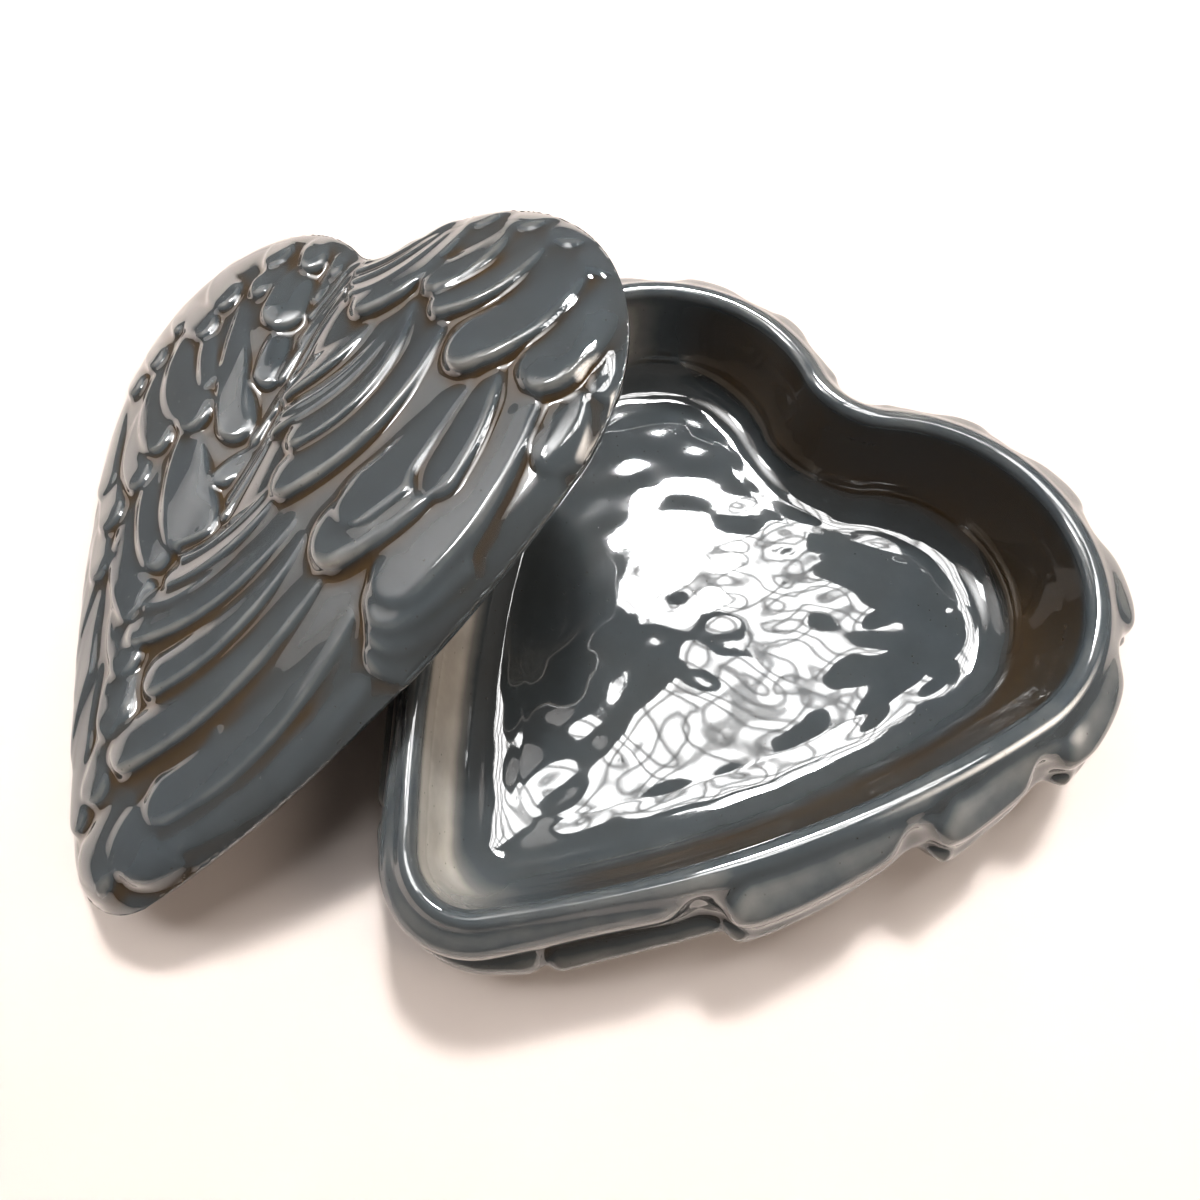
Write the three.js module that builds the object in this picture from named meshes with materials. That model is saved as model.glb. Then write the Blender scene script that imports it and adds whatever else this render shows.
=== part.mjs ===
// A glazed ceramic trinket box: a heart-shaped dish with feathered sides, and its lid of two folded
// wings, which lies off the dish with one lobe on the table and its locating ring on the dish's lip.
// Millimetres, +Z up, origin on the table under the middle of the dish, the heart's point along -Y.
import * as THREE from "three";

// The heart that the dish's inner lip follows. Its right half, from point to notch, is four tangent arcs.
const LOBE_X = 26.9;
const LOBE_Y = 29.8;
const LOBE_RADIUS = 29.6;
const NOTCH_RADIUS = 18;
const POINT_Y = -59.4;
const POINT_RADIUS = 9;
const SIDE_RADIUS = 227;
const ARC_STEPS = { point: 6, side: 17, lobe: 21, notch: 5 };

// The dish.
const DISH_HEIGHT = 27;
const FLOOR_HEIGHT = 4.6;
const WALL_BULGE = 8.7; // from the inner lip to the widest part of the lobes' wall, feathers left out
const POINT_BULGE = 0.66; // the share of that bulge that is left at the heart's point
const BULGE_GROWS = [0.1, 0.3]; // from the point to the notch, where the bulge reaches its whole
const FLOOR_INSET = 11;
const WALL_RELIEF = 4.2; // how far a feather's tip stands out of the wall
const WALL_TIP_LENGTH = 0.2; // the share of a feather in which its tip rises
const WALL_FALL = 0.85; // how much of the relief is lost from its tip to its root
const WALL_TIPS = [0, 0.05, 0.24, 0.42, 0.56, 0.67, 0.78, 0.89, 1.01]; // their places, from point to notch

// The lid, from its seating face up.
const LID_OVERHANG = 7.4; // from the dish's inner lip to the lid's edge
const EDGE_HEIGHT = 2.0; // where the lid is widest
const DOME_RISE = 5.6;
const DOME_SPAN = 23;
const SHELL_THICKNESS = 4.2;
const RING_CLEARANCE = 0.9; // between the locating ring and the dish's inner lip when closed
const RING_THICKNESS = 3.2;
const RING_DEPTH = 6;
const WING_VALLEY_DEPTH = 3.2;
const WING_VALLEY_WIDTH = 7.5;
const WING_VALLEY_END_Y = -26; // the wings have merged here
const FEATHER_RELIEF = 1.6;
const FEATHER_ROWS = [22, 40, 60, 88, 130]; // distance of each row's tips from the shoulder
const FEATHERS_PER_TURN = 9;
const SCALLOP = 4; // how far a feather's tip reaches past its sides
const ALONG_SHARE = 0.55; // the share of the relief gained from root to tip; the rest is across the feather
const FEATHERS_START = [1, 6]; // distance in from the lid's edge over which the relief grows
const UNDER_SCALES = [0.3, 0.6, 0.82, 1]; // the rings of the lid's underside, as shares of its hollow
const TOP_SCALES = [
  0.985, 0.95, 0.91, 0.86, 0.8, 0.74, 0.68, 0.62, 0.56, 0.5, 0.43, 0.36, 0.29, 0.21, 0.12,
]; // the rings of its top, as shares of its edge
const SHOULDER = new THREE.Vector2(52, 66);

// How the lid lies: turned, tipped towards a compass direction, and set down.
const LID_HEADING = 19.5;
const LEAN = 24.5;
const LEAN_TOWARDS = -132;
const LID_POSITION = new THREE.Vector3(-66.9, -35.5, 21.8);

const degrees = THREE.MathUtils.degToRad;

// The four arcs' centres, from the tangencies between them.
function heartArcs() {
  const lobe = new THREE.Vector2(LOBE_X, LOBE_Y);
  const point = new THREE.Vector2(0, POINT_Y + POINT_RADIUS);
  const reach = LOBE_RADIUS + NOTCH_RADIUS;
  const notch = new THREE.Vector2(0, LOBE_Y + Math.sqrt(reach * reach - LOBE_X * LOBE_X));
  const gap = lobe.distanceTo(point);
  const toLobe = SIDE_RADIUS - LOBE_RADIUS;
  const toPoint = SIDE_RADIUS - POINT_RADIUS;
  const along = (gap * gap + toPoint * toPoint - toLobe * toLobe) / (2 * gap);
  const across = Math.sqrt(toPoint * toPoint - along * along);
  const way = lobe.clone().sub(point).normalize();
  const side = point.clone().addScaledVector(way, along);
  side.add(new THREE.Vector2(-way.y, way.x).multiplyScalar(across));
  const angle = (from, to) => Math.atan2(to.y - from.y, to.x - from.x);
  const arc = (centre, radius, from, to, steps, bend = 1) => ({ centre, radius, from, to, steps, bend });
  const sideStart = angle(side, point);
  const sideEnd = angle(side, lobe);
  return [
    arc(point, POINT_RADIUS, -Math.PI / 2, sideStart, ARC_STEPS.point),
    arc(side, SIDE_RADIUS, sideStart, sideEnd, ARC_STEPS.side),
    arc(lobe, LOBE_RADIUS, sideEnd, angle(lobe, notch), ARC_STEPS.lobe),
    arc(notch, NOTCH_RADIUS, angle(notch, lobe), -Math.PI / 2, ARC_STEPS.notch, -1),
  ];
}

// Stations round the whole heart, counter-clockwise from the point. run is 0 at the point, 1 at the notch.
function heartStations() {
  const arcs = heartArcs();
  const lengths = arcs.map(({ radius, from, to }) => Math.abs(to - from) * radius);
  const whole = lengths.reduce((sum, length) => sum + length);
  const half = [];
  let before = 0;
  arcs.forEach((arc, n) => {
    const steps = n === arcs.length - 1 ? arc.steps + 1 : arc.steps;
    for (let i = 0; i < steps; i++) {
      const angle = THREE.MathUtils.lerp(arc.from, arc.to, i / arc.steps);
      const way = new THREE.Vector2(Math.cos(angle), Math.sin(angle));
      const run = (before + (lengths[n] * i) / arc.steps) / whole;
      half.push({ centre: arc.centre, radius: arc.radius, bend: arc.bend, way, run, mirror: 1 });
    }
    before += lengths[n];
  });
  const other = half.slice(1, -1).reverse();
  return [...half, ...other.map((station) => ({ ...station, mirror: -1 }))];
}

const STATIONS = heartStations();

// The heart grown outwards by an offset, or by one that varies round it, as a ring of points at a height.
function heartRing(offset, height) {
  return STATIONS.map((station) => {
    const grown = typeof offset === "function" ? offset(station) : offset;
    const reach = station.radius + station.bend * grown;
    const x = station.centre.x + station.way.x * reach;
    const y = station.centre.y + station.way.y * reach;
    return new THREE.Vector3(station.mirror * x, y, height);
  });
}

// A ring drawn in towards the heart's middle, each point lifted by a height function.
function innerRing(ring, scale, heightAt) {
  return ring.map((point) => {
    const x = point.x * scale;
    const y = point.y * scale;
    return new THREE.Vector3(x, y, heightAt(x, y));
  });
}

// A closed body through rings of equal count, from the middle of its underside to the middle of its top.
function loft(bottomCentre, rings, topCentre) {
  const count = rings[0].length;
  const points = [bottomCentre, ...rings.flat(), topCentre];
  const top = points.length - 1;
  const at = (ring, i) => 1 + ring * count + (i % count);
  const index = [];
  for (let i = 0; i < count; i++) {
    index.push(0, at(0, i + 1), at(0, i));
    for (let ring = 0; ring + 1 < rings.length; ring++) {
      index.push(at(ring, i), at(ring, i + 1), at(ring + 1, i + 1));
      index.push(at(ring, i), at(ring + 1, i + 1), at(ring + 1, i));
    }
    index.push(top, at(rings.length - 1, i), at(rings.length - 1, i + 1));
  }
  const geometry = new THREE.BufferGeometry().setFromPoints(points);
  geometry.setIndex(index);
  geometry.computeVertexNormals();
  return geometry;
}

// Feathers along the dish's wall lap like shingles: each stands out at its tip and sinks into the next.
function wallRelief(run, heightShare) {
  const next = WALL_TIPS.findIndex((tip) => tip > run);
  const tip = WALL_TIPS[next - 1];
  const share = (run - tip) / (WALL_TIPS[next] - tip);
  const rise = tip > 0 ? THREE.MathUtils.smoothstep(share, 0, WALL_TIP_LENGTH) : 1;
  const fall = 1 - WALL_FALL * share;
  return WALL_RELIEF * rise * fall * Math.sin(Math.PI * heightShare);
}

// The wall swells less towards the heart's point.
function bulgeShare(run) {
  return THREE.MathUtils.lerp(POINT_BULGE, 1, THREE.MathUtils.smoothstep(run, ...BULGE_GROWS));
}

function dishGeometry() {
  const outside = [
    [0.2, 0],
    [0.4, 0.9],
    [0.7, 3.6],
    [0.9, 7.0],
    [1, 11.0],
    [0.985, 14.5],
    [0.93, 18.0],
    [0.84, DISH_HEIGHT - 5.6],
    [0.72, DISH_HEIGHT - 3.2],
    [0.5, DISH_HEIGHT - 1.0],
  ];
  const inside = [
    [2.2, DISH_HEIGHT],
    [0.7, DISH_HEIGHT - 0.5],
    [0, DISH_HEIGHT - 2.0],
    [-1.4, FLOOR_HEIGHT + 10.0],
    [-3.0, FLOOR_HEIGHT + 4.6],
    [-6.0, FLOOR_HEIGHT + 1.3],
    [-FLOOR_INSET, FLOOR_HEIGHT],
  ];
  const outsideRings = outside.map(([bulge, height]) => {
    const offset = ({ run }) =>
      bulge * WALL_BULGE * bulgeShare(run) + wallRelief(run, height / DISH_HEIGHT);
    return heartRing(offset, height);
  });
  const insideRings = inside.map(([offset, height]) => heartRing(offset, height));
  const under = new THREE.Vector3(0, 0, 0);
  const floor = new THREE.Vector3(0, 0, FLOOR_HEIGHT);
  return loft(under, [...outsideRings, ...insideRings], floor);
}

// Distance from a place on the lid to the nearest point of its edge.
function insetFrom(edge, x, y) {
  const line = new THREE.Line3();
  const place = new THREE.Vector3(x, y, 0);
  const nearest = new THREE.Vector3();
  return Math.min(
    ...edge.map((point, i) => {
      line.set(point, edge[(i + 1) % edge.length]);
      return line.closestPointToPoint(place, true, nearest).distanceTo(place);
    }),
  );
}

// The smooth dome of the two wings, with the valley between them.
function domeHeight(inset, x, y) {
  const share = Math.min(inset / DOME_SPAN, 1);
  const dome = DOME_RISE * Math.sqrt(1 - (1 - share) ** 2);
  const depth = WING_VALLEY_DEPTH * THREE.MathUtils.smoothstep(y, WING_VALLEY_END_Y, LOBE_Y) * share;
  return EDGE_HEIGHT + dome - depth * Math.exp(-((x / WING_VALLEY_WIDTH) ** 2));
}

// Rows of feathers fan from the wing's shoulder. Each row thickens towards its tips and laps over the next.
function featherHeight(inset, x, y) {
  const away = new THREE.Vector2(SHOULDER.x - Math.abs(x), SHOULDER.y - y);
  const across = Math.abs(Math.cos(FEATHERS_PER_TURN * away.angle()));
  const distance = away.length() - SCALLOP * across;
  const row = FEATHER_ROWS.findIndex((tips) => distance < tips);
  if (row < 0) return 0;
  const start = row ? FEATHER_ROWS[row - 1] : 0;
  const share = (distance - start) / (FEATHER_ROWS[row] - start);
  const fade = THREE.MathUtils.smoothstep(inset, ...FEATHERS_START);
  return FEATHER_RELIEF * fade * THREE.MathUtils.lerp(across, share, ALONG_SHARE);
}

function lidGeometry() {
  const edge = heartRing(LID_OVERHANG, 0);
  const ringOuter = -RING_CLEARANCE;
  const ringInner = ringOuter - RING_THICKNESS;
  const smooth = (x, y) => domeHeight(insetFrom(edge, x, y), x, y);
  const roof = (x, y) => smooth(x, y) - SHELL_THICKNESS;
  const top = (x, y) => smooth(x, y) + featherHeight(insetFrom(edge, x, y), x, y);
  const hollow = heartRing(ringInner - 0.6, 0);
  const underRings = UNDER_SCALES.map((scale) => innerRing(hollow, scale, roof));
  const seatRings = [
    heartRing(ringInner, -RING_DEPTH + 0.5),
    heartRing(ringInner + 0.5, -RING_DEPTH),
    heartRing(ringOuter - 0.5, -RING_DEPTH),
    heartRing(ringOuter, -RING_DEPTH + 0.5),
    heartRing(ringOuter, 0),
    heartRing(LID_OVERHANG - 2.0, 0),
    heartRing(LID_OVERHANG - 0.5, EDGE_HEIGHT * 0.35),
    heartRing(LID_OVERHANG, EDGE_HEIGHT),
  ];
  const topRings = TOP_SCALES.map((scale) => innerRing(edge, scale, top));
  const under = new THREE.Vector3(0, 0, roof(0, 0));
  const crown = new THREE.Vector3(0, 0, top(0, 0));
  return loft(under, [...underRings, ...seatRings, ...topRings], crown);
}

function glaze(color) {
  return new THREE.MeshStandardMaterial({ color, roughness: 0.08, metalness: 0 });
}

const dish = new THREE.Mesh(dishGeometry(), glaze("#4c5457"));
dish.name = "base_dish";

const lid = new THREE.Mesh(lidGeometry(), glaze("#535b5d"));
lid.name = "wing_lid";
const leanWay = degrees(LEAN_TOWARDS + 90);
const leanAxis = new THREE.Vector3(Math.cos(leanWay), Math.sin(leanWay), 0);
const lean = new THREE.Quaternion().setFromAxisAngle(leanAxis, degrees(LEAN));
const turn = new THREE.Quaternion().setFromAxisAngle(new THREE.Vector3(0, 0, 1), degrees(LID_HEADING));
lid.quaternion.multiplyQuaternions(lean, turn);
lid.position.copy(LID_POSITION);

const box = new THREE.Group();
box.add(dish, lid);

export default box;
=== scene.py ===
"""A glazed ceramic trinket box: a heart-shaped dish with feathered sides, and a lid of two folded wings.

The two glazed bodies are modelled here at full detail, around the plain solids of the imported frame.
Lengths are in millimetres until make_mesh turns them into metres.
"""
import math

import bpy
import numpy as np
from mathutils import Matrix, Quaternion, Vector


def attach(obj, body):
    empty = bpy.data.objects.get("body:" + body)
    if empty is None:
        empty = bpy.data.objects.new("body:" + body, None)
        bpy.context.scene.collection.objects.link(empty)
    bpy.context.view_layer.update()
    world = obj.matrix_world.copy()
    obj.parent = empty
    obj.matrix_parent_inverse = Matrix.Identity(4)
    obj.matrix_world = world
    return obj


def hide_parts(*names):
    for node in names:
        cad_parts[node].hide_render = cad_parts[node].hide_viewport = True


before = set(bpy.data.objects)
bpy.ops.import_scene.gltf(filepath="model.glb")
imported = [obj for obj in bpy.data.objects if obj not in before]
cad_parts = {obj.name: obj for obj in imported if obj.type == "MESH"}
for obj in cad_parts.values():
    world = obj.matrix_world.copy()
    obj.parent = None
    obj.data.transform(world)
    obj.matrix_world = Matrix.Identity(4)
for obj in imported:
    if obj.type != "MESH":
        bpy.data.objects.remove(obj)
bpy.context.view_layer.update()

MM = 0.001

# The heart that the dish's inner lip follows, four tangent arcs a side.
LOBE_X, LOBE_Y, LOBE_RADIUS = 26.9, 29.8, 29.6
NOTCH_RADIUS = 18.0
POINT_Y, POINT_RADIUS = -59.4, 9.0
SIDE_RADIUS = 227.0

# The dish.
DISH_HEIGHT, FLOOR_HEIGHT = 27.0, 4.6
WALL_BULGE, POINT_BULGE = 8.7, 0.66
BULGE_GROWS = (0.1, 0.3)
RIPPLE_HEIGHT, RIPPLE_PITCH = 0.058, 11.0
FOOT_RECESS = 0.7

# The lid, from its seating face up, and how it lies on the dish and the table.
LID_OVERHANG, EDGE_HEIGHT = 7.4, 2.0
DOME_RISE, DOME_SPAN, SHELL_THICKNESS = 5.6, 23.0, 4.2
RING_CLEARANCE, RING_THICKNESS, RING_DEPTH = 0.9, 3.2, 6.0
LID_HEADING, LEAN, LEAN_TOWARDS = 19.5, 24.5, -132.0
LID_POSITION = np.array([-66.9, -35.5, 21.8])

# How finely the surfaces are made.
STATIONS = 760
GRID = 0.25


# ---------------------------------------------------------------- the heart outline

def heart_arcs():
    """(centre, radius, start angle, end angle, bend) of the right half's arcs, from point to notch."""
    lobe = np.array([LOBE_X, LOBE_Y])
    point = np.array([0, POINT_Y + POINT_RADIUS])
    reach = LOBE_RADIUS + NOTCH_RADIUS
    notch = np.array([0, LOBE_Y + math.sqrt(reach**2 - LOBE_X**2)])
    gap = np.linalg.norm(lobe - point)
    way = (lobe - point) / gap
    to_lobe = SIDE_RADIUS - LOBE_RADIUS
    to_point = SIDE_RADIUS - POINT_RADIUS
    along = (gap**2 + to_point**2 - to_lobe**2) / (2 * gap)
    across = math.sqrt(to_point**2 - along**2)
    side = point + way * along + np.array([-way[1], way[0]]) * across

    def angle(start, end):
        return math.atan2(end[1] - start[1], end[0] - start[0])

    return [
        (point, POINT_RADIUS, -math.pi / 2, angle(side, point), 1),
        (side, SIDE_RADIUS, angle(side, point), angle(side, lobe), 1),
        (lobe, LOBE_RADIUS, angle(side, lobe), angle(lobe, notch), 1),
        (notch, NOTCH_RADIUS, angle(notch, lobe), -math.pi / 2, -1),
    ]


ARCS = heart_arcs()
ARC_LENGTHS = [abs(end - start) * radius for _, radius, start, end, _ in ARCS]
HALF_LENGTH = sum(ARC_LENGTHS)


class Ring:
    """Stations round the heart, counter-clockwise from the point, evenly spaced on the inner lip."""

    def __init__(self, count):
        half = count // 2
        run = np.linspace(0, 1, half + 1)
        self.run = np.concatenate([run, run[-2:0:-1]])
        self.mirror = np.where(np.arange(count) <= half, 1.0, -1.0)
        place = self.run * HALF_LENGTH
        before = np.concatenate([[0], np.cumsum(ARC_LENGTHS)])
        which = np.clip(np.searchsorted(before, place, side="right") - 1, 0, len(ARCS) - 1)
        share = (place - before[which]) / np.array(ARC_LENGTHS)[which]
        start = np.array([arc[2] for arc in ARCS])[which]
        end = np.array([arc[3] for arc in ARCS])[which]
        angle = start + (end - start) * share
        self.centre = np.array([arc[0] for arc in ARCS])[which]
        self.radius = np.array([arc[1] for arc in ARCS])[which]
        self.bend = np.array([arc[4] for arc in ARCS])[which]
        self.way = np.stack([np.cos(angle), np.sin(angle)], 1)
        self.length = place

    def at(self, offset, height):
        """The heart grown outwards by offset, at a height, as points."""
        reach = self.radius + self.bend * offset
        xy = self.centre + self.way * (reach * np.ones(len(self.way)))[:, None]
        return np.stack([self.mirror * xy[:, 0], xy[:, 1], height + 0 * xy[:, 0]], 1)


def distance_to_heart(x, y, offset):
    """Distance to the heart outline grown by offset, for places inside it."""
    nearest = np.full(x.shape, 1e9)
    for centre, radius, start, end, bend in ARCS:
        low, high = min(start, end), max(start, end)
        across, up = np.abs(x) - centre[0], y - centre[1]
        angle = np.arctan2(up, across)
        for turn in (-2 * math.pi, 0, 2 * math.pi):
            inside = (angle + turn >= low - 1e-6) & (angle + turn <= high + 1e-6)
            gap = np.abs(np.hypot(across, up) - (radius + bend * offset))
            nearest = np.where(inside, np.minimum(nearest, gap), nearest)
    return nearest


# ---------------------------------------------------------------- height fields

def smoothstep(value, low, high):
    share = np.clip((value - low) / (high - low), 0, 1)
    return share * share * (3 - 2 * share)


def blurred(field, sigma):
    """The field softened by a Gaussian of sigma cells."""
    reach = int(math.ceil(sigma * 3))
    weights = np.exp(-0.5 * (np.arange(-reach, reach + 1) / sigma) ** 2)
    weights /= weights.sum()
    for axis in (0, 1):
        pad = [(reach, reach) if axis == n else (0, 0) for n in (0, 1)]
        padded = np.pad(field, pad, mode="edge")
        size = field.shape[axis]
        field = sum(w * np.take(padded, range(n, n + size), axis) for n, w in enumerate(weights))
    return field


class Field:
    """A height field on a square grid, in millimetres."""

    def __init__(self, x_range, y_range, step=GRID):
        self.step = step
        self.low = np.array([x_range[0], y_range[0]])
        xs = np.arange(x_range[0], x_range[1] + step, step)
        ys = np.arange(y_range[0], y_range[1] + step, step)
        self.x, self.y = np.meshgrid(xs, ys)
        self.height = np.zeros(self.x.shape)

    def sample(self, values, x, y):
        """values between the grid's places, by straight lines."""
        column = np.clip((x - self.low[0]) / self.step, 0, values.shape[1] - 1.001)
        row = np.clip((y - self.low[1]) / self.step, 0, values.shape[0] - 1.001)
        c, r = column.astype(int), row.astype(int)
        u, v = column - c, row - r
        return (
            values[r, c] * (1 - u) * (1 - v)
            + values[r, c + 1] * u * (1 - v)
            + values[r + 1, c] * (1 - u) * v
            + values[r + 1, c + 1] * u * v
        )


FEATHER_STEPS = 32
ROOT_SHARE = 0.45  # a feather's half width at its root, against its widest


def lay_feather(
    field, tip, root, bow, width, lift,
    mirror=1, tilt=0.5, rim=0.10, round_edge=3.8, softness=0.45,
):
    """Lays one feather over the field. bow is how far its middle line swings left, from its root.

    It climbs from its root to its tip, and from its left side to its right, which ends in a raised rim.
    """
    tip, root = np.array(tip, float), np.array(root, float)
    way = tip - root
    length = np.linalg.norm(way)
    way /= length
    normal = np.array([-way[1], way[0]])
    end = tip - way * width
    middle = (root + end) / 2 + normal * 2 * bow
    low = np.minimum(np.minimum(tip, root), middle) - width - 1
    high = np.maximum(np.maximum(tip, root), middle) + width + 1
    if mirror < 0:
        low[0], high[0] = -high[0], -low[0]
    first = np.maximum(((low - field.low) / field.step).astype(int), 0)
    last = np.maximum(((high - field.low) / field.step).astype(int), 0)
    part = (slice(first[1], last[1]), slice(first[0], last[0]))
    x, y = field.x[part] * mirror, field.y[part]
    if not x.size:
        return
    t = np.linspace(0, 1, FEATHER_STEPS + 1)[:, None]
    line = (1 - t) ** 2 * root + 2 * t * (1 - t) * middle + t**2 * end
    girth = width * (ROOT_SHARE + (1 - ROOT_SHARE) * np.sin(np.pi / 2 * np.clip(t[:, 0] * 1.25, 0, 1)))
    inside = np.full(x.shape, -1e9)
    along = np.zeros(x.shape)
    sideways = np.zeros(x.shape)
    for n in range(FEATHER_STEPS):
        step = line[n + 1] - line[n]
        across = np.array([x - line[n][0], y - line[n][1]])
        share = np.clip((across[0] * step[0] + across[1] * step[1]) / (step @ step), 0, 1)
        off_x = across[0] - share * step[0]
        off_y = across[1] - share * step[1]
        here = girth[n] + (girth[n + 1] - girth[n]) * share - np.hypot(off_x, off_y)
        closer = here > inside
        inside = np.where(closer, here, inside)
        along = np.where(closer, (n + share) / FEATHER_STEPS, along)
        unit = step / np.linalg.norm(step)
        sideways = np.where(closer, (unit[0] * off_y - unit[1] * off_x) / width, sideways)
    climb = lift * (0.15 + 0.85 * along)
    slope = tilt * lift * np.clip(sideways, -1, 1)
    near_edge = np.exp(-(((inside - 0.2 * width - 0.3) / (0.13 * width + 0.25)) ** 2))
    rimmed = smoothstep(sideways, -0.6, 0.6) * smoothstep(along, 0, 0.3)
    top = climb + slope + rim * lift * near_edge * rimmed
    share = np.clip(inside / min(0.8 * width, round_edge), 0, 1)
    shoulder = np.sqrt(1 - (1 - share) ** 2)
    mask = smoothstep(inside, -softness / 2, softness)
    under = field.height[part]
    laid = np.minimum(under, top) + (top - np.minimum(under, top)) * (0.35 + 0.65 * shoulder)
    field.height[part] = under + (laid - under) * mask


def soften(field, pool_depth=0.4):
    """The glaze rounds every edge, and lies thicker in the grooves."""
    height = blurred(field.height, 0.46 / field.step)
    wide = blurred(height, 1.1 / field.step)
    return height + pool_depth * np.clip(wide - height, 0, None)


def glaze_thickness(height, step):
    """From 0, thin over the ridges, to 1, thick in the grooves."""
    near = blurred(height, 0.45 / step) - height
    far = blurred(height, 1.6 / step) - height
    return np.clip(0.5 + 1.7 * near + 0.15 * np.minimum(far, 0) + 0.8 * np.maximum(far, 0), 0, 1)


# ---------------------------------------------------------------- meshes

def make_mesh(name, points, faces, attributes):
    """A mesh object from points in millimetres, with a number at each point for every attribute."""
    mesh = bpy.data.meshes.new(name)
    mesh.from_pydata((points * MM).tolist(), [], faces)
    mesh.polygons.foreach_set("use_smooth", np.ones(len(mesh.polygons), bool))
    for key, values in attributes.items():
        layer = mesh.attributes.new(key, "FLOAT", "POINT")
        layer.data.foreach_set("value", np.asarray(values, np.float32))
    mesh.validate()
    mesh.update()
    piece = bpy.data.objects.new(name, mesh)
    bpy.context.scene.collection.objects.link(piece)
    return piece


def loft(rings, bottom, top):
    """Points and faces of a closed body: bottom is its lowest middle point, and top its highest."""
    count = len(rings[0])
    points = np.vstack([bottom[None], *rings, top[None]])
    last = len(points) - 1
    here = np.arange(count)
    after = (here + 1) % count
    faces = np.stack([0 * here, 1 + after, 1 + here], 1).tolist()
    for n in range(len(rings) - 1):
        low, high = 1 + n * count, 1 + (n + 1) * count
        faces += np.stack([low + here, low + after, high + after, high + here], 1).tolist()
    high = 1 + (len(rings) - 1) * count
    faces += np.stack([last + 0 * here, high + here, high + after], 1).tolist()
    return points, faces


def along_profile(points, steps):
    """Places along a smooth line through points, evenly spaced by length."""
    points = np.array(points, float)
    padded = np.vstack([2 * points[0] - points[1], points, 2 * points[-1] - points[-2]])
    smooth = []
    for a, b, c, d in zip(padded, padded[1:], padded[2:], padded[3:]):
        for t in np.linspace(0, 1, 24, endpoint=False):
            square = (2 * a - 5 * b + 4 * c - d) * t**2
            cube = (3 * b - a - 3 * c + d) * t**3
            smooth.append(0.5 * (2 * b + (c - a) * t + square + cube))
    smooth = np.array(smooth + [points[-1]])
    length = np.concatenate([[0], np.cumsum(np.linalg.norm(np.diff(smooth, axis=0), axis=1))])
    places = np.linspace(0, length[-1], steps + 1)
    return np.stack([np.interp(places, length, smooth[:, n]) for n in (0, 1)], 1)


# ---------------------------------------------------------------- the lid's two wings

# Feathers in the lid's own plane, lowest layer first:
# tip x, tip y, root x, root y, bow of the middle line, half width.
RIGHT_WING = [
    # the lid's very point
    (-1.5, -66, 3, -50, 0.5, 6.0),
    # the long primaries, from the edge in towards the valley
    (7.5, -59.5, 16, -36, 2.5, 6.6),
    (18, -54, 44, -20, 1.5, 2.6),
    (13.5, -52, 40, -17, 2.5, 3.7),
    (9, -49.5, 33, -12, 3, 4.3),
    (-4, -45, 25, -5, 3, 5.0),
    (-4, -32.5, 17, -2, 2.5, 4.2),
    (-14.5, -25, 13, 1, 3, 4.2),
    (-15, -19, 2, -6, 1.5, 2.4),
    (-12.5, -14.5, 8, 8, 2.5, 2.8),
    (-12, -9.5, 4, 6, 1.5, 1.9),
    # a stack of short wide ones at the edge
    (50, -12, 57, 14, 1, 3.2),
    (40.5, -18.8, 54, 8, 2, 4.6),
    (39.5, -15, 55, 14, 2, 5.0),
    (38.2, -12, 54, 20, 2, 5.5),
    (38.5, -8.4, 52, 28, 1.5, 6.0),
    (54, -2, 58, 26, 1, 3.6),
    # the middle rows
    (23, -5, 43, 26, 3, 6.8),
    (26, 1.8, 41, 30, 2, 6.2),
    (41, 8, 44, 31, 0.5, 4.4),
    (7, 5, 29, 42, 4.5, 4.9),
    (5.5, 14, 20.5, 43, 4.5, 3.5),
    (-4, 16.5, 19, 40, 3.5, 2.2),
    (-3.5, 19.7, 17, 39, 3, 1.8),
    (-5, 24.3, 12, 40, 1.2, 3.6),
    # the coverts
    (58.5, 15.5, 58, 30, 0.5, 3.7),
    (62.5, 28, 60, 50, 0.5, 2.4),
    (52.5, 26.8, 57, 49, 1, 5.6),
    (35, 30.3, 51, 52, 3, 5.9),
    (26.3, 41, 43, 57, 3, 3.8),
    (23, 45.3, 34, 60, 2, 4.3),
    (7, 41.6, 23, 61, 2.5, 5.2),
    (2.5, 46, 20, 61, 2.5, 2.5),
    (0.5, 49.5, 18, 62, 2, 1.9),
    (-1, 53, 15, 63, 1.5, 1.7),
    (-1.5, 56.5, 12, 64, 1, 1.6),
    # thin ones along the valley
    (-6, -0.8, -1, 22, -0.5, 1.3),
    (-7.5, 2.5, -3, 22, -0.5, 1.0),
    (-9, 15, -2, 40, -0.6, 1.6),
    (-7, 21, 0, 46, -0.6, 1.3),
    (-9.5, 28.5, -2, 50, -0.8, 1.5),
    (-8.5, 37, -1, 56, -0.8, 1.3),
    (-9.5, 43, -1, 60, -0.8, 1.4),
]

# The short ones over its shoulder, in lower relief.
SHOULDER = [
    (58.5, 43.5, 63, 50, 0, 4.4),
    (52, 50.5, 57, 57, 0, 4.8),
    (45, 55.5, 48, 62.5, 0, 4.8),
    (36, 58.8, 38, 66, 0, 4.8),
    (26, 60.3, 27, 67, 0, 4.6),
    (16, 61, 15, 67, 0, 4.0),
    (8, 59.5, 6, 64, 0, 3.0),
]
SHOULDER_SHARE = 0.6
LEFT_TILT = 0.1  # the left wing's feathers lie flatter, from side to side

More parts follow.
